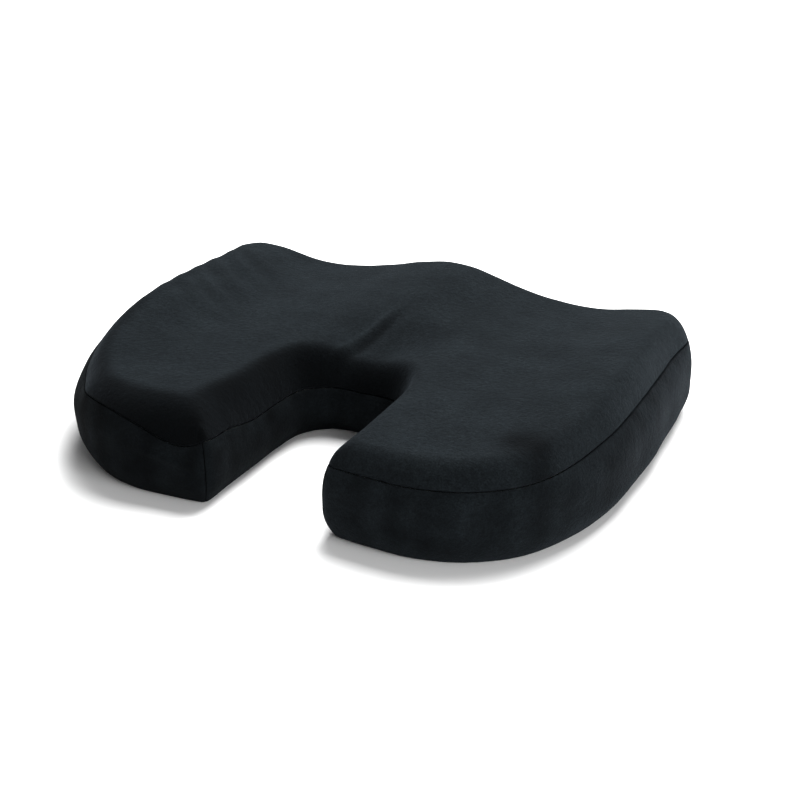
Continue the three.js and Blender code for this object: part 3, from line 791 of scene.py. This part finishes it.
def swept(path, section, rise, closed):
    """A section of (across, rise) offsets carried along a path that lies at right angles to
    the direction of the rise."""
    ahead, behind = np.roll(path, -1, 0), np.roll(path, 1, 0)
    if not closed:
        ahead[-1], behind[0] = path[-1], path[0]
    along = ahead - behind
    along /= np.linalg.norm(along, axis=1, keepdims=True)
    across = np.cross(rise, along)
    ring = path[:, None] + section[None, :, :1] * across[:, None] + section[:, 1:] * rise
    n, m = len(path), len(section)
    faces = grid_faces(n, m, True).tolist()
    if closed:
        i = np.arange(m)
        last = (n - 1) * m
        faces += np.stack([last + i, last + (i + 1) % m, (i + 1) % m, i], -1).tolist()
    else:
        faces += [list(range(m))[::-1], list(range((n - 1) * m, n * m))]
    return ring.reshape(-1, 3), faces


def rounded_section(half_width, half_height, radius, per_corner=4):
    """Outline of a rectangle with rounded corners."""
    turn = np.linspace(0, math.pi / 2, per_corner)
    inner = np.array([half_width - radius, half_height - radius])
    corners = []
    for k, sign in enumerate([(1, 1), (-1, 1), (-1, -1), (1, -1)]):
        angle = turn + k * math.pi / 2
        corners.append(np.stack([np.cos(angle), np.sin(angle)], -1) * radius + inner * sign)
    return np.vstack(corners)


def gather(name, parts, material):
    """Several closed shapes as one object."""
    vertices, faces, start = [], [], 0
    for points, polygons in parts:
        vertices.append(points)
        faces += [[i + start for i in polygon] for polygon in polygons]
        start += len(points)
    return add_object(name, np.vstack(vertices), faces, material)


def build_coil(name, side):
    """One side of the zip: a nylon thread wound in flattened turns along the tape."""
    pitch = 1.45
    turns = int((coil_end - coil_start - 1) / pitch)
    steps = turns * 10
    t = np.arange(steps + 1) / 10 * 2 * math.pi + (math.pi if side < 0 else 0)
    x = coil_start + 0.6 + np.arange(steps + 1) / 10 * pitch
    y = face_y(0.5) + 0.62 * np.sin(t)
    z = ZIP_Z + side * (1.62 + 1.02 * np.cos(t))
    path = np.stack([x, y, z], -1)
    along = np.gradient(path, axis=0)
    along /= np.linalg.norm(along, axis=1, keepdims=True)
    across = np.cross(along, (1.0, 0.0, 0.0))
    across /= np.linalg.norm(across, axis=1, keepdims=True)
    upward = np.cross(along, across)
    turn = np.arange(6) * math.pi / 3
    ring = path[:, None] + 0.33 * (np.cos(turn)[None, :, None] * across[:, None]
                                   + np.sin(turn)[None, :, None] * upward[:, None])
    faces = grid_faces(steps + 1, 6, True).tolist()
    faces += [list(range(6))[::-1], list(range(steps * 6, steps * 6 + 6))]
    return add_object(name, ring.reshape(-1, 3), faces, NYLON)


def build_slider():
    """Two wings with folded flanges, joined by a post, and a bail over the outer wing."""
    y = face_y
    parts = [
        rounded_block((SLIDER_X, y(-1.3), ZIP_Z), (7, 0.5, 4.8), 0.45),
        rounded_block((SLIDER_X, y(3.1), ZIP_Z), (7, 0.4, 4.8), 0.35),
        rounded_block((SLIDER_X + 5.1, y(1.0), ZIP_Z), (0.9, 2.1, 1.0), 0.4),
    ]
    for side in (-1, 1):
        flange = (SLIDER_X, y(0.05), ZIP_Z + side * 4.5)
        parts.append(rounded_block(flange, (6.9, 1.35, 0.3), 0.28))
    turn = np.linspace(0, math.pi, 17)
    arch = np.stack([SLIDER_X + 4.45 * np.sign(np.cos(turn)) * abs(np.cos(turn)) ** 0.6,
                     y(-1.2) + 3.75 * np.sin(turn) ** 0.6, np.full(17, ZIP_Z)], -1)
    parts.append(swept(arch, rounded_section(0.55, 0.55, 0.25), np.array([0.0, 0.0, 1.0]), False))
    return gather("slider_body", parts, METAL)


def build_pull():
    """A flat ring round the bail that widens into a grip."""
    depth, x0, x1 = -3.2, SLIDER_X, SLIDER_X - 6.8
    corner = np.radians(np.arange(0, 91, 18))
    r, half = 0.9, 2.2
    loop = []
    for cx, cz, a in ((x0 - r, half - r, 0), (x1 + r, half - r, 90), (x1 + r, r - half, 180),
                      (x0 - r, r - half, 270)):
        turn = corner + math.radians(a)
        loop.append(np.stack([cx + r * np.cos(turn), 0 * turn, cz + r * np.sin(turn)], -1))
    loop = np.vstack(loop) + (0, face_y(depth), ZIP_Z)
    ring = swept(loop, rounded_section(0.7, 0.6, 0.3), np.array([0.0, 1.0, 0.0]), True)
    middle = SLIDER_X - 15.7
    grip = rounded_block((middle, face_y(depth), ZIP_Z), (8.2, 0.6, 3.5), 0.55)
    ridges = [rounded_block((middle - 5 + 2.4 * k, face_y(depth), ZIP_Z), (0.5, 0.85, 2.5), 0.3)
              for k in range(4)]
    return gather("pull_tab", [ring, grip, *ridges], METAL)


def build_stops():
    """Small crimped blocks that end the zip: two beside the closed slider, one at the far end."""
    made = []
    for node, name in (("zip_top_stop_upper", "top_stop_upper"),
                       ("zip_top_stop_lower", "top_stop_lower"),
                       ("zip_bottom_stop", "bottom_stop")):
        low, high = (np.array(v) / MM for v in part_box(node))
        block = rounded_block((low + high) / 2, (high - low) / 2, 0.5)
        made.append((gather(name, [block], METAL), node))
    return made


def cover_piece(piece, node):
    """A piece of the cover rides on the cushion and stands for its plain panel."""
    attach(piece, "cushion")
    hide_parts(node)


end_s = TOTAL - FRONT_S
right = np.concatenate([tip_right, side_right[1:]])
left = np.concatenate([side_left, tip_left[1:]])
inside = np.concatenate([tip_left - TOTAL, notch_stations[1:], tip_right[1:]])
cover_piece(build_top_panel(), "cover_top_panel")
cover_piece(build_band("band_right", TIP_S, FRONT_S, right), "side_band_right")
# the left and notch bands take the shaded copy of the velour, as painted shade
cover_piece(build_band("band_left", end_s, TOTAL - TIP_S, left, cloth=VELOUR_SHADED),
            "side_band_left")
cover_piece(build_band("band_notch", -TIP_S, TIP_S, inside, cloth=VELOUR_SHADED),
            "notch_band")
cover_piece(build_band("band_front_upper", FRONT_S, end_s, front, bottom=ZIP_OPENING[1]),
            "front_band_upper")
cover_piece(build_band("band_front_lower", FRONT_S, end_s, front, top=ZIP_OPENING[0]),
            "front_band_lower")

base, base_rows = build_base_panel()
thicken(base, BASE_CLOTH)
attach(base, "cushion")
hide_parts("base_panel")
dots = build_dots(base_rows[0])
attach(dots, "cushion")

foam = build_foam()
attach(foam, "cushion")
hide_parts("foam_core")

for coil_name, coil_side in (("upper", 1), ("lower", -1)):
    coil = build_coil(f"coil_{coil_name}", coil_side)
    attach(coil, "cushion")
    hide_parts(f"zip_coil_{coil_name}")
    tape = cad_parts[f"zip_tape_{coil_name}"]
    tape.material_slots[0].material = TAPE
for stop, stop_node in build_stops():
    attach(stop, "cushion")
    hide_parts(stop_node)
slider = build_slider()
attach(slider, "zip_slider")
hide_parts("zip_slider")
pull = build_pull()
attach(pull, "zip_pull")
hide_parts("zip_pull_tab")


# ---- studio ------------------------------------------------------------------
def build_floor():
    """A wide pale floor."""
    mesh = bpy.data.meshes.new("floor")
    size = 30.0
    mesh.from_pydata([(-size, -size, 0), (size, -size, 0), (size, size, 0), (-size, size, 0)], [],
                     [(0, 1, 2, 3)])
    material, _, shader = finish_nodes("floor_paint")
    shader.inputs["Base Color"].default_value = (0.92, 0.92, 0.92, 1)
    shader.inputs["Roughness"].default_value = 0.9
    shader.inputs["Specular IOR Level"].default_value = 0.1
    mesh.materials.append(material)
    floor = bpy.data.objects.new("floor", mesh)
    bpy.context.scene.collection.objects.link(floor)


def aim(thing, place, target):
    """Stands something at a place and points its -Z axis at a target."""
    thing.location = place
    way = Vector(np.asarray(target, float) - np.asarray(place, float))
    thing.rotation_euler = way.to_track_quat("-Z", "Y").to_euler()


def add_light(name, place, target, size, power):
    """A rectangular area light, in metres and watts."""
    lamp = bpy.data.lights.new(name, "AREA")
    lamp.shape = "RECTANGLE"
    lamp.size, lamp.size_y = size
    lamp.energy = power
    light = bpy.data.objects.new(name, lamp)
    bpy.context.scene.collection.objects.link(light)
    aim(light, place, target)


def add_camera(azimuth, elevation, distance, lens, target):
    """A camera on the notch's side, turned towards the right lobe."""
    a, e = math.radians(azimuth), math.radians(elevation)
    back = np.array([math.sin(a) * math.cos(e), -math.cos(a) * math.cos(e), math.sin(e)])
    data = bpy.data.cameras.new("camera")
    data.sensor_width = 36.0
    data.lens = lens
    data.clip_end = 100.0
    camera = bpy.data.objects.new("camera", data)
    bpy.context.scene.collection.objects.link(camera)
    target = np.array(target) * MM
    aim(camera, target + back * distance * MM, target)
    bpy.context.scene.camera = camera


build_floor()
add_light("overhead", (0.0, 1.25, 2.25), (0, 0, 0), (1.8, 1.6), 140)
add_light("right", (1.8, -1.0, 1.15), (0, 0, 0.03), (1.5, 1.1), 38)
world = bpy.data.worlds.new("studio")
world.use_nodes = True
world.node_tree.nodes["Background"].inputs["Color"].default_value = (1.0, 1.0, 1.0, 1)
world.node_tree.nodes["Background"].inputs["Strength"].default_value = 0.28
bpy.context.scene.world = world
bpy.context.scene.view_settings.view_transform = "Standard"
bpy.context.scene.view_settings.gamma = 0.8
add_camera(26.23, 25.42, 1169.4, 67.86, (31.0, -13.3, 37.5))
